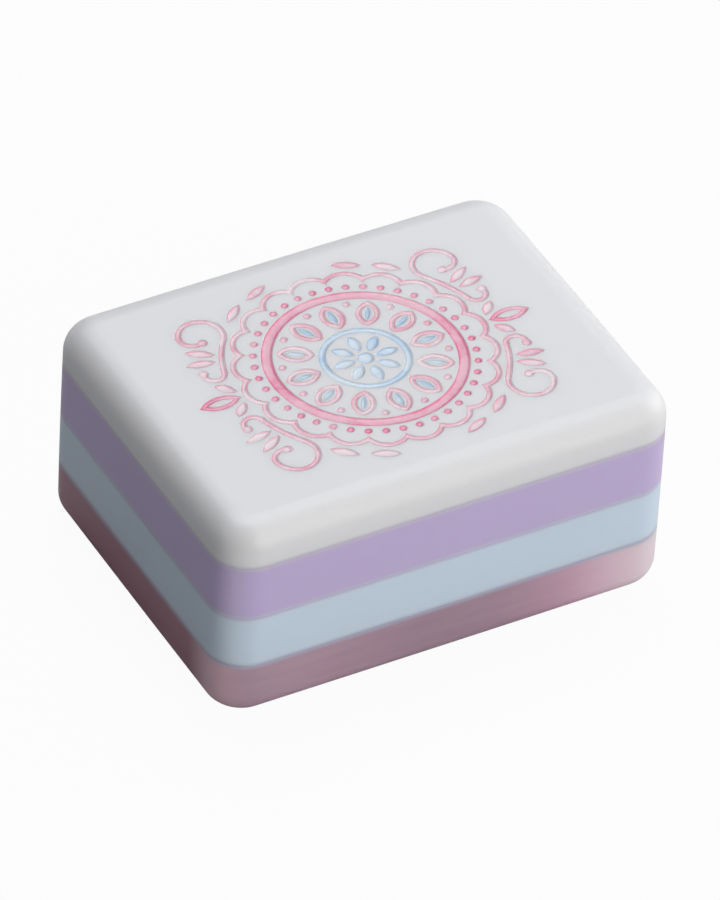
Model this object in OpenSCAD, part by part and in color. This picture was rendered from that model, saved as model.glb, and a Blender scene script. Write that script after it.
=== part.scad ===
// Mahjong tile. Four acrylic plates are bonded face to face into one block, and the block is rounded
// on every edge. A wheel with scrolls is engraved in the white face and filled with enamel.
// The tile lies on its back with its face up, and reads towards +X.

/* [Block] */
// Length of the tile, along the way it reads
tile_length = 30; // [28:0.5:46]
// Width of the tile
tile_width = 23; // [22.5:0.5:36]
// Height of the tile from its back to its face
tile_height = 14.1; // [13:0.1:22]

/* [Plates] */
// Thickness of the pale blue plate
blue_thickness = 3.6; // [1:0.1:4.7]
// Thickness of the lavender plate
lavender_thickness = 3.8; // [1:0.1:4.9]
// Thickness of the white face plate
face_thickness = 2.6; // [1.5:0.1:3.7]

/* [Rounding] */
// Radius of the four upright corners
corner_radius = 2.4; // [1.6:0.1:6]
// Radius of the edge round the face
face_edge_radius = 1.8; // [0.5:0.1:2.2]
// Radius of the edge round the back
back_edge_radius = 1.5; // [0.5:0.1:2.2]

/* [Engraving] */
// Depth of the engraved grooves
groove_depth = 0.5; // [0.3:0.05:1]
// How far the enamel stands below the face
enamel_drop = 0.1; // [0.02:0.01:0.2]
// Width of a fine line
fine_line = 0.28; // [0.2:0.02:0.36]
// Face left clear between neighbouring lines
line_gap = 0.3; // [0.2:0.02:0.4]

/* [Wheel] */
// Radius of the dot in the middle
heart_radius = 0.45; // [0.3:0.05:0.6]
// Number of petals on the middle flower
flower_petals = 8; // [6:1:9]
// Length of a petal of the middle flower
flower_petal_length = 1.35; // [1:0.05:1.6]
// Width of a petal of the middle flower
flower_petal_width = 0.62; // [0.4:0.02:0.7]
// Width of the ring round the flower
hub_ring_width = 0.34; // [0.2:0.02:0.5]
// Number of outlined petals round the wheel
wheel_petals = 12; // [8:1:13]
// Length of an outlined petal
wheel_petal_length = 2.2; // [1.6:0.1:2.6]
// Width of an outlined petal
wheel_petal_width = 1.4; // [1.2:0.05:1.6]
// Width of the vein in an outlined petal
vein_width = 0.26; // [0.16:0.02:0.32]
// Radius of the seed between two petals
seed_radius = 0.2; // [0.12:0.02:0.28]
// Width of the wheel's rim
rim_width = 0.6; // [0.3:0.05:0.8]
// Number of beads under each scallop
scallop_beads = 2; // [1:1:3]
// Radius of a bead
bead_radius = 0.2; // [0.12:0.02:0.28]
// Number of scallops in the lace line
scallop_count = 20; // [16:1:24]

/* [Scrolls] */
// Radius of the large curl
large_curl_radius = 1.35; // [1:0.05:1.5]
// Radius of the small curl
small_curl_radius = 0.62; // [0.5:0.02:0.7]
// Radius of the dot that ends a curl
curl_dot_radius = 0.26; // [0.18:0.02:0.3]
// Length of the bud at each end of the wheel
bud_length = 2.6; // [1.8:0.1:2.8]
// Width of the bud
bud_width = 1.1; // [0.8:0.05:1.2]
// Length of a leaf beside the bud
sepal_length = 1.3; // [0.8:0.1:1.5]
// Length of a leaf on the scroll
leaf_length = 1.7; // [1.2:0.1:1.9]
// Width of a leaf
leaf_width = 0.56; // [0.4:0.02:0.64]

/* [Hidden] */
// Facets of a circle in the preview
$fn = 120;
// Flat left inside a corner's rounding
corner_land = 0.2;
// Clearance round the enamel in its groove
enamel_clearance = 0.02;
// How far a cut runs past the surface it opens
overrun = 1;

// Heights of the bonds between the plates. The back plate takes what the others leave of the height
face_floor = tile_height - face_thickness;
lavender_floor = face_floor - lavender_thickness;
blue_floor = lavender_floor - blue_thickness;
back_thickness = blue_floor;
// Edge radii, limited by the corner that carries them
face_round = min(face_edge_radius, corner_radius - corner_land);
back_round = min(back_edge_radius, corner_radius - corner_land);
// Length of the straight walls between two corners
long_wall = tile_length - 2 * corner_radius;
short_wall = tile_width - 2 * corner_radius;

// Radii of the wheel, from the middle outwards
flower_inner = heart_radius + line_gap;
hub_inner = flower_inner + flower_petal_length + line_gap;
petal_inner = hub_inner + hub_ring_width + line_gap;
petal_outer = petal_inner + wheel_petal_length;
rim_inner = petal_outer + line_gap;
bead_path = rim_inner + rim_width + line_gap + bead_radius;
lace_inner = bead_path + bead_radius + line_gap;
// Scallops overlap by this share of the radius at which they would only touch
scallop_share = 1.2;
scallop_half_angle = 180 / scallop_count;
// How far out two neighbouring scallops cross, as a share of the distance of their centres
crossing_share = cos(scallop_half_angle) + sin(scallop_half_angle) * sqrt(scallop_share * scallop_share - 1);
lace_path = lace_inner / crossing_share;
scallop_radius = scallop_share * lace_path * sin(scallop_half_angle);
wheel_radius = lace_path + scallop_radius + fine_line;
// Middle line of the stems that follow the wheel
stem_path = wheel_radius + line_gap + fine_line / 2;
// Directions of the stem's two ends, seen from the wheel's centre
stem_start_angle = 16;
stem_end_angle = 37;
// Turns of the two curls, the large one in two parts of falling radius
large_curl_angles = [201, 129];
small_curl_angle = 189;
inner_curl_share = 3 / 5;
// Width of the dot at each joint of a curl, as a share of the line's width
joint_share = 1.2;
// Directions of the leaves on the stem and of those that trail after it, and how far the first lean
leaf_angles = [23, 27];
leaf_lean_angles = [-12, 5];
trail_angles = [48, 64];
// How far the leaves beside a bud spread
sepal_angle = 48;

// Outline of the block cut straight across a wall to wall distance, standing on the origin
module wall_section(span) {
    translate([-span / 2, back_round])
        square([span, tile_height - back_round - face_round]);
    translate([-span / 2 + back_round, 0])
        square([span - 2 * back_round, tile_height / 2]);
    translate([-span / 2 + face_round, tile_height / 2])
        square([span - 2 * face_round, tile_height / 2]);
    for (side = [-1, 1]) {
        translate([side * (span / 2 - back_round), back_round])
            circle(back_round);
        translate([side * (span / 2 - face_round), tile_height - face_round])
            circle(face_round);
    }
}

// One upright corner of the block, a full turn of the same section
module corner_post() {
    rotate_extrude()
        intersection() {
            wall_section(2 * corner_radius);
            square([corner_radius, tile_height]);
        }
}

// The whole rounded block, which the plates share
module block() {
    rotate([90, 0, 90])
        linear_extrude(long_wall, center = true)
            wall_section(tile_width);
    rotate([90, 0, 0])
        linear_extrude(short_wall, center = true)
            wall_section(tile_length);
    for (x = [-1, 1], y = [-1, 1])
        translate([x * long_wall / 2, y * short_wall / 2, 0])
            corner_post();
}

// The layer of the block between two bonds
module plate(floor_height, thickness) {
    intersection() {
        block();
        translate([-tile_length / 2, -tile_width / 2, floor_height])
            cube([tile_length, tile_width, thickness]);
    }
}

// Flat ring on a middle radius
module ring(radius, width) {
    difference() {
        circle(radius + width / 2);
        circle(radius - width / 2);
    }
}

// Pointed leaf from the origin along +X, with both sides round
module leaf(length, width, grow = 0) {
    side_radius = (length * length + width * width) / (4 * width);
    intersection() {
        translate([length / 2, side_radius - width / 2])
            circle(side_radius + grow);
        translate([length / 2, width / 2 - side_radius])
            circle(side_radius + grow);
    }
}

// Pie slice that covers an arc line of the given reach
module slice(reach, sweep) {
    polygon([[0, 0], for (step = [0:4]) 2 * reach * [cos(sweep * step / 4), sin(sweep * step / 4)]]);
}

// Line from the origin along +X that turns left round a centre beside it
module arc_line(radius, sweep, width) {
    translate([0, radius])
        rotate(-90)
            intersection() {
                ring(radius, width);
                slice(radius + width, sweep);
            }
}

// Arc lines end to end, each [radius, sweep], with a small dot at each joint and a larger one at the
// end. A negative radius turns right
module curl(turns, grow, index = 0) {
    if (index == len(turns))
        circle(curl_dot_radius + grow);
    else {
        radius = turns[index][0];
        sweep = turns[index][1];
        circle(joint_share * fine_line / 2 + grow);
        if (radius > 0)
            arc_line(radius, sweep, fine_line + 2 * grow);
        else
            mirror([0, 1])
                arc_line(-radius, sweep, fine_line + 2 * grow);
        translate([abs(radius) * sin(sweep), radius * (1 - cos(sweep))])
            rotate(sign(radius) * sweep)
                curl(turns, grow, index + 1);
    }
}

// A place on the stem's middle line, or outside it, with +X pointing away from the wheel
module on_stem(turn, lift = 0) {
    rotate(turn)
        translate([stem_path + lift, 0])
            children();
}

// Shapes that repeat in the four quarters of the face
module quarters() {
    children();
    mirror([1, 0])
        children();
    mirror([0, 1])
        children();
    rotate(180)
        children();
}

// Each outline below is the enamel's own, and grow widens it into its groove

module heart_outline(grow = 0) {
    circle(heart_radius + grow);
}

module flower_outline(grow = 0) {
    for (petal = [0:flower_petals - 1])
        rotate(petal * 360 / flower_petals)
            translate([flower_inner, 0])
                leaf(flower_petal_length, flower_petal_width, grow);
}

module hub_ring_outline(grow = 0) {
    ring(hub_inner + hub_ring_width / 2, hub_ring_width + 2 * grow);
}

module petal_outline(grow = 0) {
    for (petal = [0:wheel_petals - 1])
        rotate(petal * 360 / wheel_petals)
            translate([petal_inner, 0])
                difference() {
                    leaf(wheel_petal_length, wheel_petal_width, grow);
                    leaf(wheel_petal_length, wheel_petal_width, -fine_line - grow);
                }
}

module vein_outline(grow = 0) {
    vein_length = wheel_petal_length / 2;
    for (petal = [0:wheel_petals - 1])
        rotate(petal * 360 / wheel_petals)
            translate([petal_inner + (wheel_petal_length - vein_length) / 2, 0])
                leaf(vein_length, vein_width, grow);
}

module seed_outline(grow = 0) {
    for (seed = [0:wheel_petals - 1])
        rotate((seed + 1 / 2) * 360 / wheel_petals)
            translate([petal_outer - seed_radius, 0])
                circle(seed_radius + grow);
}

module rim_outline(grow = 0) {
    ring(rim_inner + rim_width / 2, rim_width + 2 * grow);
}

module bead_outline(grow = 0) {
    bead_count = scallop_beads * scallop_count;
    for (bead = [0:bead_count - 1])
        rotate(bead * 360 / bead_count)
            translate([bead_path, 0])
                circle(bead_radius + grow);
}

module lace_outline(grow = 0) {
    difference() {
        for (scallop = [0:scallop_count - 1])
            rotate(scallop * 360 / scallop_count)
                translate([lace_path, 0])
                    circle(scallop_radius + fine_line + grow);
        circle(lace_path);
        for (scallop = [0:scallop_count - 1])
            rotate(scallop * 360 / scallop_count)
                translate([lace_path, 0])
                    circle(scallop_radius - grow);
    }
}

module bud_outline(grow = 0) {
    for (end = [0, 180])
        rotate(end)
            translate([wheel_radius + line_gap, 0])
                difference() {
                    leaf(bud_length, bud_width, grow);
                    leaf(bud_length, bud_width, -fine_line - grow);
                }
}

// The stem follows the wheel and curls away from it at both ends
module scroll_outline(grow = 0) {
    quarters() {
        on_stem(stem_start_angle)
            rotate(90)
                curl([
                    [stem_path, stem_end_angle - stem_start_angle],
                    [-large_curl_radius, large_curl_angles[0]],
                    [-large_curl_radius * inner_curl_share, large_curl_angles[1]]
                ], grow);
        on_stem(stem_start_angle)
            rotate(-90)
                curl([[small_curl_radius, small_curl_angle]], grow);
    }
}

module leaf_outline(grow = 0) {
    quarters() {
        for (place = [0:len(leaf_angles) - 1])
            on_stem(leaf_angles[place], fine_line / 2 + line_gap)
                rotate(leaf_lean_angles[place])
                    leaf(leaf_length, leaf_width, grow);
        for (turn = trail_angles)
            on_stem(turn, leaf_width / 4)
                rotate(90)
                    leaf(leaf_length, leaf_width, grow);
        translate([wheel_radius + line_gap, bud_width / 2])
            rotate(sepal_angle)
                leaf(sepal_length, leaf_width, grow);
    }
}

// A piece of enamel, from the groove's floor up to just below the face
module enamel() {
    translate([0, 0, tile_height - groove_depth])
        linear_extrude(groove_depth - enamel_drop)
            children();
}

module back_plate() {
    color([0.70, 0.55, 0.62, 0.9])
        plate(0, back_thickness);
}

module blue_plate() {
    color([0.80, 0.85, 0.92])
        plate(blue_floor, blue_thickness);
}

module lavender_plate() {
    color([0.77, 0.71, 0.86])
        plate(lavender_floor, lavender_thickness);
}

module face_plate() {
    color([0.95, 0.95, 0.96])
        difference() {
            plate(face_floor, face_thickness);
            translate([0, 0, tile_height - groove_depth])
                linear_extrude(groove_depth + overrun) {
                    heart_outline(enamel_clearance);
                    flower_outline(enamel_clearance);
                    hub_ring_outline(enamel_clearance);
                    petal_outline(enamel_clearance);
                    vein_outline(enamel_clearance);
                    seed_outline(enamel_clearance);
                    rim_outline(enamel_clearance);
                    bead_outline(enamel_clearance);
                    lace_outline(enamel_clearance);
                    bud_outline(enamel_clearance);
                    scroll_outline(enamel_clearance);
                    leaf_outline(enamel_clearance);
                }
        }
}

module heart_enamel() {
    color([0.62, 0.77, 0.89])
        enamel()
            heart_outline();
}

module flower_enamel() {
    color([0.62, 0.77, 0.89])
        enamel()
            flower_outline();
}

module hub_ring_enamel() {
    color([0.62, 0.77, 0.89])
        enamel()
            hub_ring_outline();
}

module petal_enamel() {
    color([0.86, 0.62, 0.70])
        enamel()
            petal_outline();
}

module vein_enamel() {
    color([0.62, 0.77, 0.89])
        enamel()
            vein_outline();
}

module seed_enamel() {
    color([0.86, 0.62, 0.70])
        enamel()
            seed_outline();
}

module rim_enamel() {
    color([0.88, 0.42, 0.56])
        enamel()
            rim_outline();
}

module bead_enamel() {
    color([0.88, 0.42, 0.56])
        enamel()
            bead_outline();
}

module lace_enamel() {
    color([0.86, 0.62, 0.70])
        enamel()
            lace_outline();
}

module bud_enamel() {
    color([0.88, 0.42, 0.56])
        enamel()
            bud_outline();
}

module scroll_enamel() {
    color([0.86, 0.62, 0.70])
        enamel()
            scroll_outline();
}

module leaf_enamel() {
    color([0.86, 0.62, 0.70])
        enamel()
            leaf_outline();
}

back_plate();
blue_plate();
lavender_plate();
face_plate();
heart_enamel();
flower_enamel();
hub_ring_enamel();
petal_enamel();
vein_enamel();
seed_enamel();
rim_enamel();
bead_enamel();
lace_enamel();
bud_enamel();
scroll_enamel();
leaf_enamel();
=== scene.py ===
import math

import bpy
import numpy as np
from mathutils import Matrix, Vector, geometry, noise


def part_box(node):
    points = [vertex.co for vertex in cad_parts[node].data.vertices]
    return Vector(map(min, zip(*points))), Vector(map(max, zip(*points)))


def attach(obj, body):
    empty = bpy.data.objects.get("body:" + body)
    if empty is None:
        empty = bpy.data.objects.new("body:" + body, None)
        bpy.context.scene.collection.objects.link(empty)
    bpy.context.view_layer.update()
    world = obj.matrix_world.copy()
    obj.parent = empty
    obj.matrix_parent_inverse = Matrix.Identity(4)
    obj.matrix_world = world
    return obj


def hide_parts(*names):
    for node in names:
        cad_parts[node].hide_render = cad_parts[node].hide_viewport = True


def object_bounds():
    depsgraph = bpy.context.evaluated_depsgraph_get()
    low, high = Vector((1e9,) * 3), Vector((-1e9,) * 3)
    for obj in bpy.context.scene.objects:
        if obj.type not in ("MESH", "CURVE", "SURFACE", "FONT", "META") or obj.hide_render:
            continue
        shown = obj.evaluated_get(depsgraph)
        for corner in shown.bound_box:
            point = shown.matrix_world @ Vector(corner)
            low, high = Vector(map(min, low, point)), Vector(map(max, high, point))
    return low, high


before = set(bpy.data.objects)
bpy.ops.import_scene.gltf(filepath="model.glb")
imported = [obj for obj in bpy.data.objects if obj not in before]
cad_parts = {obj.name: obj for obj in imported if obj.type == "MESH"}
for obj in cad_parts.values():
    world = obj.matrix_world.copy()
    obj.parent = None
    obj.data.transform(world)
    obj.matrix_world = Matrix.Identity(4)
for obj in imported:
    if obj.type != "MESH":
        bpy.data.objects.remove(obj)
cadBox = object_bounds()
mm = 0.001
tileLength, tileWidth, tileHeight = cadBox[1] - cadBox[0]
print("frame loaded, tile", [round(size / mm, 2) for size in cadBox[1] - cadBox[0]], "mm")


# The rounded block that the four plates share

block = {
    "cornerRadius": 2.4 * mm,
    "faceEdgeRadius": 1.8 * mm,
    "backEdgeRadius": 1.5 * mm,
    "cornerSteps": 20,
    "edgeSteps": 14,
    "wallStep": 0.9 * mm,     # mesh spacing along a wall
    "rowStep": 0.5 * mm,      # mesh spacing up a wall
    "wallCrown": 0.06 * mm,   # how far polishing took the ends of each wall back
    "faceCrown": 0.06 * mm,   # and the rim of the face
    "bondBevel": 0.008 * mm,  # the hairline where two plates meet
    "bondMargin": 0.04 * mm,  # keeps the shading of a wall even up to its bonds
    "flatMargin": 0.15 * mm,  # keeps the shading of a flat even up to its rim
}


# Anticlockwise outline of the block at some distance inside its walls
def planLoop(inset):
    radius = block["cornerRadius"] - inset
    halfX = tileLength / 2 - block["cornerRadius"]
    halfY = tileWidth / 2 - block["cornerRadius"]
    points = []
    for corner, (sideX, sideY) in enumerate(((1, 1), (-1, 1), (-1, -1), (1, -1))):
        centre = np.array((sideX * halfX, sideY * halfY))
        for step in range(block["cornerSteps"] + 1):
            turn = math.pi / 2 * (corner + step / block["cornerSteps"])
            points.append(centre + radius * np.array((math.cos(turn), math.sin(turn))))
        length = 2 * (halfX if corner % 2 == 0 else halfY)
        heading = np.array(((-1, 0), (0, -1), (1, 0), (0, 1))[corner])
        parts = round(length / block["wallStep"])
        start = points[-1]
        points += [start + heading * length * part / parts for part in range(1, parts)]
    return np.array(points)


# How far the wall stands back at a height, from the two rounded edges
def wallInset(height):
    for radius, reach in (
        (block["backEdgeRadius"], height),
        (block["faceEdgeRadius"], tileHeight - height),
    ):
        if reach < radius:
            return radius - math.sqrt(radius ** 2 - (radius - reach) ** 2)
    return 0.0


# Heights at which the wall gets a row of mesh
def wallHeights():
    arc = [math.pi / 2 * step / block["edgeSteps"] for step in range(block["edgeSteps"] + 1)]
    low = [block["backEdgeRadius"] * (1 - math.cos(turn)) for turn in arc]
    high = [tileHeight - block["faceEdgeRadius"] * (1 - math.cos(turn)) for turn in arc]
    straight = high[-1] - low[-1]
    parts = round(straight / block["rowStep"])
    return low + [low[-1] + straight * part / parts for part in range(1, parts)] + high[::-1]


# A light crown on the walls and the face, as polishing by hand leaves
def crowned(points):
    across = points / np.array((tileLength / 2, tileWidth / 2, tileHeight))
    lift = (2 * across[:, 2] - 1) ** 2
    moved = points.copy()
    moved[:, 0] -= across[:, 0] * block["wallCrown"] * (across[:, 1] ** 2 + lift) / 2
    moved[:, 1] -= across[:, 1] * block["wallCrown"] * (across[:, 0] ** 2 + lift) / 2
    moved[:, 2] -= across[:, 2] * block["faceCrown"] * (across[:, 0] ** 2 + across[:, 1] ** 2) / 2
    return moved


# Mesh under construction: loops of points, the bands between them, and flat fills

meshing = {
    "chunk": 200,      # points compared at a time, to spare memory
    "weld": 1e-7,      # points of a fill that lie closer, in mm, are one
    "tiny": 1e-9,      # a length below this counts as none
    "digits": 4,       # decimals of a millimetre that tell packed points apart
    "level": 0.001,    # how near, in mm, a packed point lies to the height it belongs to
}


def newShape():
    return {"points": [], "faces": [], "fill": []}


def addLoop(shape, outline, height, fill=0.0):
    first = len(shape["points"])
    heights = np.broadcast_to(height, len(outline))
    fills = np.broadcast_to(fill, len(outline))
    shape["points"] += [(x, y, z) for (x, y), z in zip(outline, heights)]
    shape["fill"] += list(fills)
    return list(range(first, first + len(outline)))


def joinLoops(shape, outer, inner):
    for here in range(len(outer)):
        after = (here + 1) % len(outer)
        shape["faces"].append((outer[here], outer[after], inner[after], inner[here]))


# Which of the given places lie inside the loops, by the even and odd rule
def insideLoops(places, loops):
    starts = np.concatenate(loops)
    ends = np.concatenate([np.roll(loop, -1, axis=0) for loop in loops])
    inside = np.zeros(len(places), bool)
    rise = ends[:, 1] - starts[:, 1]
    rise[rise == 0] = meshing["tiny"]
    for first in range(0, len(places), meshing["chunk"]):
        part = places[first:first + meshing["chunk"], None]
        spans = (starts[:, 1] > part[..., 1]) != (ends[:, 1] > part[..., 1])
        reach = (part[..., 1] - starts[:, 1]) / rise
        crossing = starts[:, 0] + reach * (ends[:, 0] - starts[:, 0])
        inside[first:first + meshing["chunk"]] = (spans & (part[..., 0] < crossing)).sum(1) % 2 == 1
    return inside


# Fills what the loops enclose with triangles that face up, or down
def fillLoops(shape, loops, down=False):
    members = [index for loop in loops for index in loop]
    flat = np.array([shape["points"][index][:2] for index in members]) / mm
    edges, first = [], 0
    for loop in loops:
        edges += [(first + at, first + (at + 1) % len(loop)) for at in range(len(loop))]
        first += len(loop)
    corners, _, triangles, sources, _, _ = geometry.delaunay_2d_cdt(
        [Vector(point) for point in flat], edges, [], 0, meshing["weld"]
    )
    known = []
    for corner, source in zip(corners, sources):
        if source:
            known.append(members[source[0]])
        else:
            known.append(len(shape["points"]))
            shape["points"].append((corner.x * mm, corner.y * mm, shape["points"][members[0]][2]))
            shape["fill"].append(shape["fill"][members[0]])
    centres = np.array([np.mean([corners[at][:] for at in face], axis=0) for face in triangles])
    first, outlines = 0, []
    for loop in loops:
        outlines.append(flat[first:first + len(loop)])
        first += len(loop)
    for face, kept in zip(triangles, insideLoops(centres, outlines)):
        if kept:
            face = [known[at] for at in face]
            shape["faces"].append(tuple(reversed(face)) if down else tuple(face))


def makePiece(name, shape, replaces):
    mesh = bpy.data.meshes.new(name)
    mesh.from_pydata(crowned(np.array(shape["points"])).tolist(), [], shape["faces"])
    mesh.validate()
    mesh.shade_smooth()
    fill = mesh.attributes.new("fillShare", "FLOAT", "POINT")
    fill.data.foreach_set("value", np.array(shape["fill"], np.float32))
    piece = bpy.data.objects.new(name, mesh)
    bpy.context.scene.collection.objects.link(piece)
    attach(piece, "root")
    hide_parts(replaces)
    return piece


# Plate with its walls, and a bevel at each bond. Returns the shape and its top row
def plateShape(low, high):
    bevel = block["bondBevel"]
    margin = bevel + block["bondMargin"]
    rows = [
        (wallInset(height), height)
        for height in wallHeights()
        if low + 2 * margin < height < high - 2 * margin
    ]
    if low > 0:
        rows = [(wallInset(low + reach), low + reach) for reach in (bevel, margin)] + rows
        rows = [(wallInset(low) + bevel, low)] + rows
    else:
        rim = block["backEdgeRadius"]
        rows = [(rim + block["flatMargin"], 0.0), (rim, 0.0)] + rows
    if high < tileHeight:
        rows += [(wallInset(high - reach), high - reach) for reach in (margin, bevel)]
        rows += [(wallInset(high) + bevel, high)]
    else:
        rim = block["faceEdgeRadius"]
        rows += [(rim, tileHeight), (rim + block["flatMargin"], tileHeight)]
    shape = newShape()
    loops = [addLoop(shape, planLoop(inset), height) for inset, height in rows]
    for below, above in zip(loops, loops[1:]):
        joinLoops(shape, below, above)
    fillLoops(shape, [loops[0]], down=True)
    return shape, loops[-1]


# Engraved figures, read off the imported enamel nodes

engraving = {
    "step": 0.13 * mm,          # mesh spacing along an outline
    "sharpTurn": 0.42,          # radians, beyond which a corner stays sharp
    "clearance": 0.02 * mm,     # from the enamel's outline to the groove's wall
    "shoulder": 0.07 * mm,      # radius that polishing left on the groove's edge
    "shoulderSteps": 5,
    "shoulderMargin": 0.02 * mm,
    "depth": 0.5 * mm,
    "room": 0.9,                # share of the clear width that loops may use
    "mostRoom": 2 * mm,         # more than any loop needs
    "longestCorner": 2.4,       # limit on how much further than its sides a sharp corner moves
}


# Outlines of the node's top face, each with the enamel on its left
def boundaryLoops(nodeName):
    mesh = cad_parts[nodeName].data
    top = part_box(nodeName)[1].z
    digits = meshing["digits"]
    places = [tuple(round(value / mm, digits) for value in vertex.co) for vertex in mesh.vertices]
    follows = set()
    for face in mesh.polygons:
        corners = [places[index] for index in face.vertices]
        if all(abs(corner[2] - top / mm) < meshing["level"] for corner in corners):
            follows |= {(corners[at - 1][:2], corners[at][:2]) for at in range(len(corners))}
    after = {start: end for start, end in follows if (end, start) not in follows}
    loops = []
    while after:
        start = min(after)
        loop, here = [], start
        while here in after:
            loop.append(here)
            here = after.pop(here)
        loops.append(np.array(loop) * mm)
    return loops


def leftOf(direction):
    return np.stack((-direction[..., 1], direction[..., 0]), axis=-1)


# Adds points along the arcs of an outline and keeps its sharp corners
def refined(loop):
    count = len(loop)
    back = loop - np.roll(loop, 1, axis=0)
    ahead = np.roll(loop, -1, axis=0) - loop
    backLength = np.linalg.norm(back, axis=1)[:, None]
    aheadLength = np.linalg.norm(ahead, axis=1)[:, None]
    cross = back[:, 0] * ahead[:, 1] - back[:, 1] * ahead[:, 0]
    sharp = np.abs(np.arctan2(cross, (back * ahead).sum(1))) > engraving["sharpTurn"]
    tangent = back / backLength ** 2 + ahead / aheadLength ** 2
    tangent /= np.linalg.norm(tangent, axis=1)[:, None]
    points = []
    for here in range(count):
        after = (here + 1) % count
        length = aheadLength[here, 0]
        chord = ahead[here] / length
        leave, arrive = tangent[here], tangent[after]
        if sharp[here] and sharp[after]:
            leave = arrive = chord
        elif sharp[here]:
            leave = 2 * (arrive @ chord) * chord - arrive
        elif sharp[after]:
            arrive = 2 * (leave @ chord) * chord - leave
        handles = (
            loop[here],
            loop[here] + leave * length / 3,
            loop[after] - arrive * length / 3,
            loop[after],
        )
        parts = max(1, math.ceil(length / engraving["step"]))
        for part in range(parts):
            gone = part / parts
            left = 1 - gone
            weights = (left ** 3, 3 * gone * left ** 2, 3 * gone * gone * left, gone ** 3)
            points.append(sum(weight * handle for weight, handle in zip(weights, handles)))
    return np.array(points)


# For loops with the region on their left: which way each point moves in, and how far it may go
def inwardRoom(loops):
    every = np.concatenate(loops)
    moves, rooms = [], []
    for loop in loops:
        back = loop - np.roll(loop, 1, axis=0)
        ahead = np.roll(loop, -1, axis=0) - loop
        normalBack = leftOf(back / np.linalg.norm(back, axis=1)[:, None])
        normalAhead = leftOf(ahead / np.linalg.norm(ahead, axis=1)[:, None])
        lean = 1 + (normalBack * normalAhead).sum(1)[:, None]
        move = (normalBack + normalAhead) / np.maximum(lean, 1 / engraving["longestCorner"])
        unit = move / np.linalg.norm(move, axis=1)[:, None]
        room = np.empty(len(loop))
        for first in range(0, len(loop), meshing["chunk"]):
            last = first + meshing["chunk"]
            gap = every[None] - loop[first:last, None]
            reach = (gap * unit[first:last, None]).sum(2)
            inFront = reach > meshing["tiny"]
            ball = (gap ** 2).sum(2) / np.where(inFront, 2 * reach, np.inf)   # radius that touches both
            ball[ball == 0] = np.inf
            ball[~inFront] = np.inf
            room[first:last] = ball.min(1)
        moves.append(move)
        rooms.append(np.minimum(room, engraving["mostRoom"]))
    return moves, rooms


def movedLoop(loop, move, room, distance):
    return loop + move * np.minimum(distance, engraving["room"] * room)[:, None]


enamelNodes = sorted(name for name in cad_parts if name.endswith("_enamel"))
figures = {name: [refined(loop) for loop in boundaryLoops(name)] for name in enamelNodes}
print("outlines read:", sum(len(loops) for loops in figures.values()), "loops,",
      sum(len(loop) for loops in figures.values() for loop in loops), "points")


# The four plates

heights = [0.0] + [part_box(name)[1].z for name in ("back_plate", "blue_plate", "lavender_plate")]
heights.append(tileHeight)

plateNodes = {
    "backPlate": ("back_plate", "rose_acrylic"),
    "bluePlate": ("blue_plate", "blue_acrylic"),
    "lavenderPlate": ("lavender_plate", "lavender_acrylic"),
    "facePlate": ("face_plate", "white_acrylic"),
}


# Closes the face round its grooves, which have rounded shoulders, and gives them their floors
def engraveFace(shape, topRow):
    radius = engraving["shoulder"]
    rows = [(radius + engraving["shoulderMargin"], 0.0)]
    for step in range(engraving["shoulderSteps"] + 1):
        turn = math.pi / 2 * step / engraving["shoulderSteps"]
        rows.append((radius * (1 - math.sin(turn)), radius * (1 - math.cos(turn))))
    rows.append((0.0, engraving["depth"]))
    outlines = [loop for node in enamelNodes for loop in figures[node]]
    moves, rooms = inwardRoom([loop[::-1] for loop in outlines])
    rims, floors = [], []
    for loop, move, room in zip(outlines, moves, rooms):
        rings = []
        for out, down in rows:
            outline = movedLoop(loop, move[::-1], room[::-1], engraving["clearance"] + out)
            rings.append(addLoop(shape, outline, tileHeight - down, 1 - min(1.0, out / radius)))
        for outer, inner in zip(rings, rings[1:]):
            joinLoops(shape, outer, inner)
        rims.append(rings[0][::-1])
        floors.append(rings[-1])
    fillLoops(shape, [topRow] + rims)
    fillLoops(shape, floors)


pieces = {}
for level, (name, (node, slot)) in enumerate(plateNodes.items()):
    shape, topRow = plateShape(heights[level], heights[level + 1])
    if name == "facePlate":
        engraveFace(shape, topRow)
    else:
        fillLoops(shape, [topRow])
    pieces[name] = makePiece(name, shape, node)
    print(name, "built,", len(shape["points"]), "points")


# Enamel in the grooves, drawn up at the walls and sunk in the middle

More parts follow.
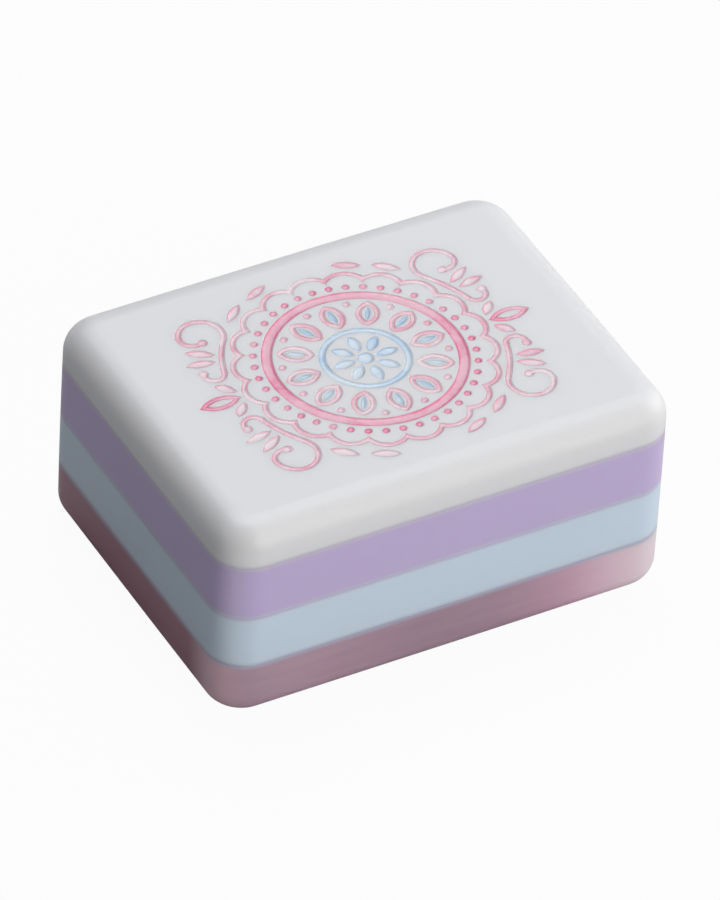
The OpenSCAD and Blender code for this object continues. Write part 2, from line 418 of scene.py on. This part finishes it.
enamel = {
    "intoWall": 0.012 * mm,     # how far it reaches into the plate, so that no gap shows
    "wallDrop": 0.035 * mm,     # below the face at the groove's wall
    "middleDrop": 0.09 * mm,    # below the face in the middle of a wide groove
    "meniscus": 0.06 * mm,      # how quickly it falls away from the wall
    "ringReaches": [reach * mm for reach in (0.0, 0.03, 0.06, 0.1, 0.15, 0.22)],   # in from the wall
    "middleReach": 0.14 * mm,   # in from the wall, where a line's middle begins
    "unevenness": 0.02 * mm,    # how much the level wanders along a line
    "wander": 0.7 / mm,         # how often
    "wanderSlice": 3,           # which slice of the noise it follows
}
enamelPieces = {
    "heartEnamel": ("heart_enamel", "blue_enamel"),
    "flowerEnamel": ("flower_enamel", "blue_enamel"),
    "hubRingEnamel": ("hub_ring_enamel", "blue_enamel"),
    "petalEnamel": ("petal_enamel", "dusty_enamel"),
    "veinEnamel": ("vein_enamel", "blue_enamel"),
    "seedEnamel": ("seed_enamel", "dusty_enamel"),
    "rimEnamel": ("rim_enamel", "pink_enamel"),
    "beadEnamel": ("bead_enamel", "pink_enamel"),
    "laceEnamel": ("lace_enamel", "dusty_enamel"),
    "budEnamel": ("bud_enamel", "pink_enamel"),
    "scrollEnamel": ("scroll_enamel", "dusty_enamel"),
    "leafEnamel": ("leaf_enamel", "dusty_enamel"),
}


# Height of the enamel's top at some places, each at its depth in from the wall
def enamelLevel(places, depth):
    drift = np.array([
        noise.noise((x * enamel["wander"], y * enamel["wander"], enamel["wanderSlice"]))
        for x, y in places
    ])
    sunk = 1 - np.exp(-depth / enamel["meniscus"])
    drop = enamel["wallDrop"] + (enamel["middleDrop"] - enamel["wallDrop"]) * sunk
    return tileHeight - drop + drift * sunk * enamel["unevenness"]


def enamelShape(loops):
    moves, rooms = inwardRoom(loops)
    shape = newShape()
    floors, middles = [], []
    for loop, move, room in zip(loops, moves, rooms):
        out = engraving["clearance"] + enamel["intoWall"]
        wide = loop - move * out
        rings = [addLoop(shape, wide, tileHeight - engraving["depth"] - enamel["intoWall"])]
        for reach in enamel["ringReaches"]:
            depth = np.minimum(reach, engraving["room"] * room)
            ring = wide if reach == 0 else loop + move * depth[:, None]
            share = np.minimum(1, depth / enamel["middleReach"])
            rings.append(addLoop(shape, ring, enamelLevel(ring, depth), share))
        for outer, inner in zip(rings, rings[1:]):
            joinLoops(shape, outer, inner)
        floors.append(rings[0])
        middles.append(rings[-1])
    fillLoops(shape, floors, down=True)
    fillLoops(shape, middles)
    return shape


for name, (node, slot) in enamelPieces.items():
    pieces[name] = makePiece(name, enamelShape(figures[node]), node)
print("enamel built")


# Shader node groups. Each works in the object's own coordinates

def newGroup(name, inputs, outputs):
    tree = bpy.data.node_groups.new(name, "ShaderNodeTree")
    for title, kind, value in inputs:
        socket = tree.interface.new_socket(title, in_out="INPUT", socket_type=kind)
        socket.default_value = value
    for title, kind in outputs:
        tree.interface.new_socket(title, in_out="OUTPUT", socket_type=kind)
    return tree, tree.nodes.new("NodeGroupInput"), tree.nodes.new("NodeGroupOutput")


def addNode(tree, kind, values=None, **settings):
    node = tree.nodes.new(kind)
    for key, value in settings.items():
        setattr(node, key, value)
    for key, value in (values or {}).items():
        node.inputs[key].default_value = value
    return node


def objectPlace(tree, scale):
    coordinates = addNode(tree, "ShaderNodeTexCoord")
    mapping = addNode(tree, "ShaderNodeMapping", {"Scale": scale})
    tree.links.new(coordinates.outputs["Object"], mapping.inputs["Vector"])
    return mapping.outputs["Vector"]


def noiseOver(tree, place, detail=3.0, roughness=0.5, distortion=0.0):
    cloud = addNode(
        tree, "ShaderNodeTexNoise",
        {"Scale": 1.0, "Detail": detail, "Roughness": roughness, "Distortion": distortion},
    )
    tree.links.new(place, cloud.inputs["Vector"])
    return cloud.outputs["Fac"]


toneWaves = {
    "broad": (140, 140, 200),
    "fine": (1500, 1500, 1500),
    "fineShare": 0.35,
}


# Colour that drifts a little lighter and darker over the surface
def toneDriftGroup():
    tree, given, result = newGroup(
        "toneDrift",
        [("Color", "NodeSocketColor", (1, 1, 1, 1)), ("Amount", "NodeSocketFloat", 0.05)],
        [("Color", "NodeSocketColor")],
    )
    broad = noiseOver(tree, objectPlace(tree, toneWaves["broad"]), detail=2)
    fine = noiseOver(tree, objectPlace(tree, toneWaves["fine"]), detail=4, roughness=0.6)
    blend = addNode(tree, "ShaderNodeMix", {"Factor": toneWaves["fineShare"]})
    tree.links.new(broad, blend.inputs[2])
    tree.links.new(fine, blend.inputs[3])
    centred = addNode(tree, "ShaderNodeMath", {1: 0.5}, operation="SUBTRACT")
    tree.links.new(blend.outputs[0], centred.inputs[0])
    swing = addNode(tree, "ShaderNodeMath", {2: 1.0}, operation="MULTIPLY_ADD")
    tree.links.new(centred.outputs[0], swing.inputs[0])
    tree.links.new(given.outputs["Amount"], swing.inputs[1])
    shaded = addNode(tree, "ShaderNodeHueSaturation")
    tree.links.new(given.outputs["Color"], shaded.inputs["Color"])
    tree.links.new(swing.outputs[0], shaded.inputs["Value"])
    tree.links.new(shaded.outputs[0], result.inputs["Color"])
    return tree


polishing = {
    "strokes": ((500, 9000, 9000), (9000, 700, 9000)),   # fine marks along X and along Y
    "ridges": (0.62, 0.78),                              # where in the noise a mark begins and is full
    "markWeight": 0.35,
    "markDepth": 0.02,
    "haze": (260, 260, 260),
    "waves": (220, 220, 220),
}


# Hairline marks of polishing in two directions, and a broad haze
def polishMarksGroup():
    tree, given, result = newGroup(
        "polishMarks",
        [("Roughness", "NodeSocketFloat", 0.3), ("Haze", "NodeSocketFloat", 0.1)],
        [("Roughness", "NodeSocketFloat"), ("Height", "NodeSocketFloat")],
    )
    strokes = []
    for scale in polishing["strokes"]:
        stroke = noiseOver(tree, objectPlace(tree, scale), detail=2, roughness=0.6, distortion=0.3)
        ridge = addNode(
            tree, "ShaderNodeMapRange",
            {"From Min": polishing["ridges"][0], "From Max": polishing["ridges"][1]},
        )
        tree.links.new(stroke, ridge.inputs["Value"])
        strokes.append(ridge.outputs["Result"])
    marks = addNode(tree, "ShaderNodeMath", operation="MAXIMUM")
    tree.links.new(strokes[0], marks.inputs[0])
    tree.links.new(strokes[1], marks.inputs[1])
    haze = noiseOver(tree, objectPlace(tree, polishing["haze"]), detail=5, roughness=0.6)
    spread = addNode(tree, "ShaderNodeMath", {1: 0.5}, operation="SUBTRACT")
    tree.links.new(haze, spread.inputs[0])
    both = addNode(tree, "ShaderNodeMath", {1: polishing["markWeight"]}, operation="MULTIPLY_ADD")
    tree.links.new(marks.outputs[0], both.inputs[0])
    tree.links.new(spread.outputs[0], both.inputs[2])
    rough = addNode(tree, "ShaderNodeMath", operation="MULTIPLY_ADD")
    tree.links.new(both.outputs[0], rough.inputs[0])
    tree.links.new(given.outputs["Haze"], rough.inputs[1])
    tree.links.new(given.outputs["Roughness"], rough.inputs[2])
    tree.links.new(rough.outputs[0], result.inputs["Roughness"])
    waves = noiseOver(tree, objectPlace(tree, polishing["waves"]), detail=1)
    deep = addNode(tree, "ShaderNodeMath", {1: -polishing["markDepth"]}, operation="MULTIPLY_ADD")
    tree.links.new(marks.outputs[0], deep.inputs[0])
    tree.links.new(waves, deep.inputs[2])
    tree.links.new(deep.outputs[0], result.inputs["Height"])
    return tree


# One where the surface turns from one wall to the next, nought on the flats
def roundedEdgeGroup():
    tree, given, result = newGroup(
        "roundedEdge",
        [("Start", "NodeSocketFloat", 0.02), ("Full", "NodeSocketFloat", 0.25)],
        [("Mask", "NodeSocketFloat")],
    )
    coordinates = addNode(tree, "ShaderNodeTexCoord")
    size = addNode(tree, "ShaderNodeVectorMath", operation="ABSOLUTE")
    tree.links.new(coordinates.outputs["Normal"], size.inputs[0])
    parts = addNode(tree, "ShaderNodeSeparateXYZ")
    tree.links.new(size.outputs[0], parts.inputs[0])
    widest = addNode(tree, "ShaderNodeMath", operation="MAXIMUM")
    tree.links.new(parts.outputs[0], widest.inputs[0])
    tree.links.new(parts.outputs[1], widest.inputs[1])
    most = addNode(tree, "ShaderNodeMath", operation="MAXIMUM")
    tree.links.new(widest.outputs[0], most.inputs[0])
    tree.links.new(parts.outputs[2], most.inputs[1])
    turned = addNode(tree, "ShaderNodeMath", {0: 1.0}, operation="SUBTRACT")
    tree.links.new(most.outputs[0], turned.inputs[1])
    mask = addNode(tree, "ShaderNodeMapRange", interpolation_type="SMOOTHSTEP")
    tree.links.new(turned.outputs[0], mask.inputs["Value"])
    tree.links.new(given.outputs["Start"], mask.inputs["From Min"])
    tree.links.new(given.outputs["Full"], mask.inputs["From Max"])
    tree.links.new(mask.outputs["Result"], result.inputs["Mask"])
    return tree


# Mask for the painted corner glow: one at the block's four upright corners, falling to nought along the
# walls
def cornerGlowMaskGroup():
    tree, given, result = newGroup(
        "cornerGlowMask",
        [("Half Length", "NodeSocketFloat", 0.015), ("Half Width", "NodeSocketFloat", 0.0115),
         ("Reach", "NodeSocketFloat", 0.006)],
        [("Mask", "NodeSocketFloat")],
    )
    coordinates = addNode(tree, "ShaderNodeTexCoord")
    size = addNode(tree, "ShaderNodeVectorMath", operation="ABSOLUTE")
    tree.links.new(coordinates.outputs["Object"], size.inputs[0])
    parts = addNode(tree, "ShaderNodeSeparateXYZ")
    tree.links.new(size.outputs[0], parts.inputs[0])
    shares = []
    for axis, title in enumerate(("Half Length", "Half Width")):
        start = addNode(tree, "ShaderNodeMath", operation="SUBTRACT")
        tree.links.new(given.outputs[title], start.inputs[0])
        tree.links.new(given.outputs["Reach"], start.inputs[1])
        share = addNode(tree, "ShaderNodeMapRange", interpolation_type="SMOOTHSTEP")
        tree.links.new(parts.outputs[axis], share.inputs["Value"])
        tree.links.new(start.outputs[0], share.inputs["From Min"])
        tree.links.new(given.outputs[title], share.inputs["From Max"])
        shares.append(share.outputs["Result"])
    both = addNode(tree, "ShaderNodeMath", operation="MULTIPLY")
    tree.links.new(shares[0], both.inputs[0])
    tree.links.new(shares[1], both.inputs[1])
    tree.links.new(both.outputs[0], result.inputs["Mask"])
    return tree


# One at the bond below or above a plate, falling to nought within its reach
def bondBleedGroup():
    tree, given, result = newGroup(
        "bondBleed",
        [("Low", "NodeSocketFloat", 0.0), ("High", "NodeSocketFloat", 0.01),
         ("Reach", "NodeSocketFloat", 0.0003)],
        [("Low Mask", "NodeSocketFloat"), ("High Mask", "NodeSocketFloat")],
    )
    coordinates = addNode(tree, "ShaderNodeTexCoord")
    parts = addNode(tree, "ShaderNodeSeparateXYZ")
    tree.links.new(coordinates.outputs["Object"], parts.inputs[0])
    for title, operation in (("Low", "ADD"), ("High", "SUBTRACT")):
        end = addNode(tree, "ShaderNodeMath", operation=operation)
        tree.links.new(given.outputs[title], end.inputs[0])
        tree.links.new(given.outputs["Reach"], end.inputs[1])
        mask = addNode(tree, "ShaderNodeMapRange", interpolation_type="SMOOTHSTEP")
        tree.links.new(parts.outputs["Z"], mask.inputs["Value"])
        tree.links.new(end.outputs[0], mask.inputs["From Min"])
        tree.links.new(given.outputs[title], mask.inputs["From Max"])
        tree.links.new(mask.outputs["Result"], result.inputs[title + " Mask"])
    return tree


groups = {
    "toneDrift": toneDriftGroup(),
    "polishMarks": polishMarksGroup(),
    "roundedEdge": roundedEdgeGroup(),
    "cornerGlowMask": cornerGlowMaskGroup(),
    "bondBleed": bondBleedGroup(),
}


def placeGroup(tree, name, values):
    node = addNode(tree, "ShaderNodeGroup", node_tree=groups[name])
    for key, value in values.items():
        node.inputs[key].default_value = value
    return node


# Mix of two fixed colours by a mask. A Mix node has its colours on inputs 6 and 7 and output 2
def blendColors(tree, first, second, mask):
    mix = addNode(tree, "ShaderNodeMix", data_type="RGBA")
    mix.inputs[6].default_value = first
    mix.inputs[7].default_value = second
    tree.links.new(mask, mix.inputs["Factor"])
    return mix.outputs[2]


# Lays a colour over another where a mask says, and returns the socket to go on from
def tintOver(tree, under, color, mask, amount=1.0):
    scaled = addNode(tree, "ShaderNodeMath", {1: amount}, operation="MULTIPLY")
    tree.links.new(mask, scaled.inputs[0])
    mix = addNode(tree, "ShaderNodeMix", data_type="RGBA")
    mix.inputs[7].default_value = color
    tree.links.new(scaled.outputs[0], mix.inputs["Factor"])
    tree.links.new(under, mix.inputs[6])
    return mix.outputs[2]


def newMaterial(name, settings):
    material = bpy.data.materials.new(name)
    material.use_nodes = True
    tree = material.node_tree
    tree.nodes.clear()
    shader = addNode(tree, "ShaderNodeBsdfPrincipled", settings)
    output = addNode(tree, "ShaderNodeOutputMaterial")
    tree.links.new(shader.outputs[0], output.inputs["Surface"])
    return material, tree, shader


def linkFinish(tree, shader, finish):
    marks = placeGroup(
        tree, "polishMarks", {"Roughness": finish["roughness"], "Haze": finish["haze"]}
    )
    tree.links.new(marks.outputs["Roughness"], shader.inputs["Roughness"])
    bump = addNode(tree, "ShaderNodeBump", {"Strength": 1.0, "Distance": finish["relief"]})
    tree.links.new(marks.outputs["Height"], bump.inputs["Height"])
    tree.links.new(bump.outputs[0], shader.inputs["Normal"])


# Opaque acrylic of one colour, with a painted glow that makes it a little paler on the rounded edges

plastic = {"ior": 1.49, "scatter": 1.0 * mm}   # of all four plates
bonds = {"reach": 0.3 * mm, "amount": 0.5}     # how far and how much neighbouring tints blend
# Where the painted edge glow begins and is full
rounding = {"start": 0.02, "full": 0.28}       # turn where the paler tint begins and is full

acrylics = {
    "facePlate": {
        "color": (0.80, 0.805, 0.82, 1), "edge": (0.82, 0.82, 0.83, 1), "drift": 0.02,
        "roughness": 0.46, "haze": 0.12, "relief": 0.02 * mm, "glow": 0.35, "reach": (1.1, 1.0, 0.95),
    },
    "lavenderPlate": {
        "color": (0.58, 0.48, 0.745, 1), "edge": (0.61, 0.51, 0.765, 1), "drift": 0.04,
        "roughness": 0.44, "haze": 0.12, "relief": 0.02 * mm, "glow": 0.3, "reach": (0.8, 0.6, 1.0),
    },
    "bluePlate": {
        "color": (0.63, 0.75, 0.87, 1), "edge": (0.65, 0.77, 0.88, 1), "drift": 0.04,
        "roughness": 0.44, "haze": 0.12, "relief": 0.02 * mm, "glow": 0.3, "reach": (0.7, 0.9, 1.1),
    },
}


def acrylicMaterial(name, finish):
    material, tree, shader = newMaterial(name.replace("Plate", "Acrylic"), {
        "IOR": plastic["ior"],
        "Subsurface Weight": finish["glow"],
        "Subsurface Radius": finish["reach"],
        "Subsurface Scale": plastic["scatter"],
    })
    # Painted light: the rounded edges are a little paler, a glow standing in for light through them
    edge = placeGroup(tree, "roundedEdge", {"Start": rounding["start"], "Full": rounding["full"]})
    color = blendColors(tree, finish["color"], finish["edge"], edge.outputs["Mask"])
    order = list(plateNodes)
    level = order.index(name)
    bond = placeGroup(tree, "bondBleed", {
        "Low": heights[level], "High": heights[level + 1], "Reach": bonds["reach"],
    })
    below = rose["bond"] if name == "bluePlate" else acrylics[order[level - 1]]["color"]
    color = tintOver(tree, color, below, bond.outputs["Low Mask"], bonds["amount"])
    if name != "facePlate":
        above = acrylics[order[level + 1]]["color"]
        color = tintOver(tree, color, above, bond.outputs["High Mask"], bonds["amount"])
    drift = placeGroup(tree, "toneDrift", {"Amount": finish["drift"]})
    tree.links.new(color, drift.inputs["Color"])
    tree.links.new(drift.outputs["Color"], shader.inputs["Base Color"])
    linkFinish(tree, shader, finish)
    return material


# Translucent acrylic of the back, with faint streaks along its layer, and painted light and shade near
# its ends

rose = {
    "deep": (0.368, 0.235, 0.305, 1), "light": (0.496, 0.346, 0.422, 1), "drift": 0.06,
    "streakStretch": (90, 90, 1600),
    # Painted light glowing through the upright corners: redder towards a corner and paler close to it,
    # by these shares at the left and right end, so that it shows at the lit right end
    "warm": (0.91, 0.53, 0.69, 1), "warmReach": 14 * mm,
    "pale": (0.80, 0.71, 0.745, 1), "paleReach": 8 * mm,
    "endShares": (0.0, 1.0),
    # Painted shade: deeper on the shaded left end wall
    "leftEnd": (0.44, 0.20, 0.265, 1), "leftReach": 1.2 * mm,
    # Painted light: paler as if lit from inside beside the front left corner, at any height
    "lit": (0.82, 0.56, 0.64, 1), "litReach": 2.9 * mm,
    "litPlace": (-tileLength / 2, -tileWidth / 2 + 1.9 * mm, 0),
    # Bluer at the bond above
    "bond": (0.54, 0.58, 0.76, 1), "bondReach": 0.42 * mm, "bondAmount": 0.85,
    "farBelow": -1.0,   # puts the bond that it lacks below out of reach
    "roughness": 0.36, "haze": 0.1, "relief": 0.02 * mm, "glow": 0.5, "reach": (2.6, 2.0, 2.3),
}


def roseMaterial():
    material, tree, shader = newMaterial("roseAcrylic", {
        "IOR": plastic["ior"],
        "Subsurface Weight": rose["glow"],
        "Subsurface Radius": rose["reach"],
        "Subsurface Scale": plastic["scatter"],
    })
    streak = noiseOver(tree, objectPlace(tree, rose["streakStretch"]), detail=4, distortion=0.4)
    color = blendColors(tree, rose["deep"], rose["light"], streak)
    bond = placeGroup(tree, "bondBleed", {
        "Low": rose["farBelow"], "High": heights[1], "Reach": rose["bondReach"],
    })
    coordinates = addNode(tree, "ShaderNodeTexCoord")
    along = addNode(tree, "ShaderNodeSeparateXYZ")
    tree.links.new(coordinates.outputs["Object"], along.inputs[0])
    fade = addNode(tree, "ShaderNodeMapRange", {
        "From Min": -tileLength / 2, "From Max": tileLength / 2,
        "To Min": rose["endShares"][0], "To Max": rose["endShares"][1],
    })
    tree.links.new(along.outputs["X"], fade.inputs["Value"])
    # Painted shade: the left end wall, which lies in shade, is tinted deeper
    end = addNode(tree, "ShaderNodeMapRange", {
        "From Min": rose["leftReach"] - tileLength / 2, "From Max": -tileLength / 2,
    }, interpolation_type="SMOOTHSTEP")
    tree.links.new(along.outputs["X"], end.inputs["Value"])
    color = tintOver(tree, color, rose["leftEnd"], end.outputs["Result"])
    # Painted light: a pale glow beside the front left corner, as if light passed through it
    plan = addNode(tree, "ShaderNodeVectorMath", {1: (1, 1, 0)}, operation="MULTIPLY")
    tree.links.new(coordinates.outputs["Object"], plan.inputs[0])
    gap = addNode(tree, "ShaderNodeVectorMath", {1: rose["litPlace"]}, operation="DISTANCE")
    tree.links.new(plan.outputs[0], gap.inputs[0])
    lit = addNode(tree, "ShaderNodeMapRange", {
        "From Min": rose["litReach"], "From Max": 0.0,
    }, interpolation_type="SMOOTHSTEP")
    tree.links.new(gap.outputs["Value"], lit.inputs["Value"])
    color = tintOver(tree, color, rose["lit"], lit.outputs["Result"])
    # Painted light: the corners turn redder and paler as if light glowed through them, full at the right
    # end and nought at the left
    for tone in ("warm", "pale"):
        corner = placeGroup(tree, "cornerGlowMask", {
            "Half Length": tileLength / 2, "Half Width": tileWidth / 2, "Reach": rose[tone + "Reach"],
        })
        share = addNode(tree, "ShaderNodeMath", operation="MULTIPLY")
        tree.links.new(corner.outputs["Mask"], share.inputs[0])
        tree.links.new(fade.outputs["Result"], share.inputs[1])
        color = tintOver(tree, color, rose[tone], share.outputs[0])
    color = tintOver(tree, color, rose["bond"], bond.outputs["High Mask"], rose["bondAmount"])
    drift = placeGroup(tree, "toneDrift", {"Amount": rose["drift"]})
    tree.links.new(color, drift.inputs["Color"])
    tree.links.new(drift.outputs["Color"], shader.inputs["Base Color"])
    linkFinish(tree, shader, rose)
    return material


pieces["backPlate"].data.materials.append(roseMaterial())
for name, finish in acrylics.items():
    pieces[name].data.materials.append(acrylicMaterial(name, finish))


# Enamel brushed into the grooves: darker where it lies deep, paler where it thins

paints = {
    "blue_enamel": {"deep": (0.39, 0.58, 0.80, 1), "thin": (0.70, 0.80, 0.88, 1)},
    "dusty_enamel": {"deep": (0.81, 0.38, 0.495, 1), "thin": (0.865, 0.755, 0.79, 1)},
    "pink_enamel": {"deep": (0.82, 0.17, 0.33, 1), "thin": (0.865, 0.50, 0.605, 1)},
}
brushing = {
    "ior": 1.5, "coat": 0.2, "coatRoughness": 0.2,
    "roughness": 0.38, "haze": 0.2, "relief": 0.03 * mm, "drift": 0.08,
    "patches": (420, 420, 420), "strokes": (2200, 2200, 2200), "strokeWeight": 0.4,
    "middleWeight": 0.3,      # how much paler the middle of a line is than its sides
    "deepBelow": 0.62, "thinAbove": 1.1,   # where in their sum the paint is deep, and where thin
}


def enamelMaterial(name, paint):
    material, tree, shader = newMaterial(name, {
        "IOR": brushing["ior"],
        "Coat Weight": brushing["coat"],
        "Coat Roughness": brushing["coatRoughness"],
    })
    share = addNode(tree, "ShaderNodeAttribute", attribute_name="fillShare")
    patch = noiseOver(tree, objectPlace(tree, brushing["patches"]), detail=2, distortion=0.4)
    stroke = noiseOver(tree, objectPlace(tree, brushing["strokes"]), detail=3, distortion=0.6)
    middle = addNode(tree, "ShaderNodeMath", {1: brushing["middleWeight"]}, operation="MULTIPLY_ADD")
    tree.links.new(share.outputs["Fac"], middle.inputs[0])
    tree.links.new(patch, middle.inputs[2])
    mixed = addNode(tree, "ShaderNodeMath", {1: brushing["strokeWeight"]}, operation="MULTIPLY_ADD")
    tree.links.new(stroke, mixed.inputs[0])
    tree.links.new(middle.outputs[0], mixed.inputs[2])
    ramp = addNode(
        tree, "ShaderNodeMapRange",
        {"From Min": brushing["deepBelow"], "From Max": brushing["thinAbove"]},
        interpolation_type="SMOOTHSTEP",
    )
    tree.links.new(mixed.outputs[0], ramp.inputs["Value"])
    color = blendColors(tree, paint["deep"], paint["thin"], ramp.outputs["Result"])
    drift = placeGroup(tree, "toneDrift", {"Amount": brushing["drift"]})
    tree.links.new(color, drift.inputs["Color"])
    tree.links.new(drift.outputs["Color"], shader.inputs["Base Color"])
    linkFinish(tree, shader, brushing)
    return material


paintMaterials = {slot: enamelMaterial(slot, paint) for slot, paint in paints.items()}
for name, (node, slot) in enamelPieces.items():
    pieces[name].data.materials.append(paintMaterials[slot])
print("materials placed")


# Floor, light and camera

studio = {
    "floorColor": (0.56, 0.56, 0.57, 1),
    "floorSize": 1.6,
    "floorGap": 0.01 * mm,    # the floor lies this far under the tile
    "floorRoughness": 0.8,
    "floorShine": 0.955,      # share of the floor's paper white that the camera sees unshaded
    "worldColor": (0.93, 0.95, 1.0, 1),
    "worldStrength": 0.05,
}
lights = {
    "keyLight": {"place": (0.11, -0.51, 0.205), "size": 0.34, "power": 1.76, "color": (1, 0.985, 0.97)},
    "topLight": {"place": (0.02, 0.16, 0.44), "size": 0.30, "power": 1.04, "color": (0.97, 0.98, 1)},
    "backLight": {"place": (0.16, 0.16, 0.28), "size": 0.30, "power": 0.30, "color": (0.97, 0.98, 1)},
    "sideLight": {"place": (0.42, 0.02, 0.12), "size": 0.26, "power": 0.55, "color": (1, 0.99, 0.98)},
}
view = {
    "place": (-0.23020, -0.38898, 0.38926),
    "target": (0, 0, 0.007),
    "roll": 3.443,      # degrees
    "lens": 400.4,
    "sensor": 36,
    "clip": (0.01, 10),
}

floorMesh = bpy.data.meshes.new("floor")
half = studio["floorSize"] / 2
floorMesh.from_pydata(
    [(-half, -half, 0), (half, -half, 0), (half, half, 0), (-half, half, 0)], [], [(0, 1, 2, 3)]
)
floorMesh.transform(Matrix.Translation((0, 0, -studio["floorGap"])))
floor = bpy.data.objects.new("floor", floorMesh)
bpy.context.scene.collection.objects.link(floor)
floorMaterial, floorTree, floorShader = newMaterial("paleFloor", {"Roughness": studio["floorRoughness"]})
floorShader.inputs["Base Color"].default_value = studio["floorColor"]
paper = addNode(floorTree, "ShaderNodeEmission", {"Color": (1, 1, 1, 1)})
ray = addNode(floorTree, "ShaderNodeLightPath")
seen = addNode(floorTree, "ShaderNodeMath", {1: studio["floorShine"]}, operation="MULTIPLY")
floorTree.links.new(ray.outputs["Is Camera Ray"], seen.inputs[0])
blend = addNode(floorTree, "ShaderNodeMixShader")
floorTree.links.new(seen.outputs[0], blend.inputs[0])
floorTree.links.new(floorShader.outputs[0], blend.inputs[1])
floorTree.links.new(paper.outputs[0], blend.inputs[2])
floorTree.links.new(blend.outputs[0], floorTree.nodes["Material Output"].inputs["Surface"])
floorMesh.materials.append(floorMaterial)

world = bpy.data.worlds.new("studioWorld")
world.use_nodes = True
backdrop = world.node_tree.nodes["Background"]
backdrop.inputs["Color"].default_value = studio["worldColor"]
backdrop.inputs["Strength"].default_value = studio["worldStrength"]
bpy.context.scene.world = world


def aimAt(holder, target):
    holder.rotation_mode = "QUATERNION"
    holder.rotation_quaternion = (Vector(target) - holder.location).to_track_quat("-Z", "Y")


for name, light in lights.items():
    data = bpy.data.lights.new(name, "AREA")
    data.shape = "DISK"
    data.size = light["size"]
    data.energy = light["power"]
    data.color = light["color"]
    lamp = bpy.data.objects.new(name, data)
    bpy.context.scene.collection.objects.link(lamp)
    lamp.location = light["place"]
    aimAt(lamp, view["target"])

camera = bpy.data.objects.new("camera", bpy.data.cameras.new("camera"))
bpy.context.scene.collection.objects.link(camera)
camera.location = view["place"]
aimAt(camera, view["target"])
camera.rotation_quaternion = (
    camera.rotation_quaternion.to_matrix() @ Matrix.Rotation(math.radians(view["roll"]), 3, "Z")
).to_quaternion()
camera.data.lens = view["lens"]
camera.data.sensor_width = view["sensor"]
camera.data.clip_start, camera.data.clip_end = view["clip"]
bpy.context.scene.camera = camera
bpy.context.scene.view_settings.view_transform = "Standard"
print("studio set")
